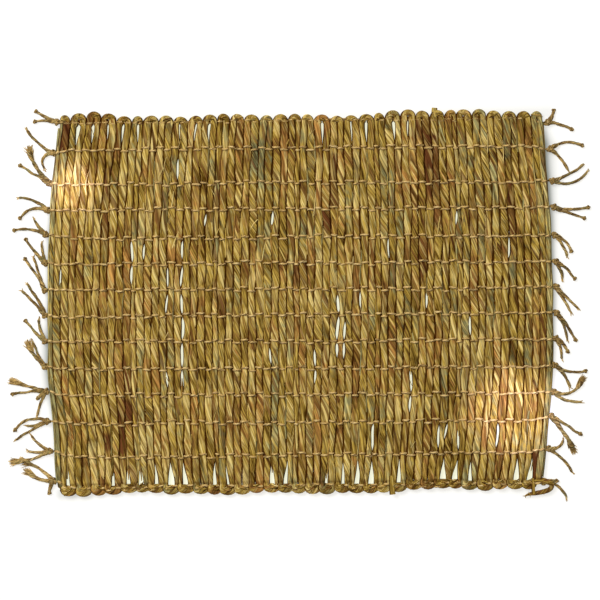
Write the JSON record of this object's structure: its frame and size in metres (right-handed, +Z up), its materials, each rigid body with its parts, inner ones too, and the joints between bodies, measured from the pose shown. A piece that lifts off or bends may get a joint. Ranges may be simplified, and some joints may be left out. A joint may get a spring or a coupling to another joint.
{
  "type": "seagrass placemat",
  "caption": "Flat rectangular placemat of one twisted seagrass cord laid to and fro, bound by crossing pairs of thin twine that end in knotted loose tails at both sides.",
  "frame": {"origin": "centre of the underside, over the whole mat with its tails", "axes": "+X along the long side, across the runs of cord, +Y along the runs towards the top edge, +Z up from the table"},
  "size_m": [0.4984, 0.3346, 0.0074],
  "materials": {
    "seagrass": "twisted dry seagrass leaf, satin",
    "twine": "matt two-ply fibre twine"
  },
  "bodies": {
    "root": {"seagrass_cord": "seagrass", "twine_pair_01": "twine", "twine_pair_02": "twine", "twine_pair_03": "twine", "twine_pair_04": "twine", "twine_pair_05": "twine", "twine_pair_06": "twine", "twine_pair_07": "twine", "twine_pair_08": "twine", "twine_pair_09": "twine", "twine_pair_10": "twine", "twine_pair_11": "twine", "twine_pair_12": "twine", "twine_pair_13": "twine", "twine_pair_14": "twine"}
  },
  "joints": []
}
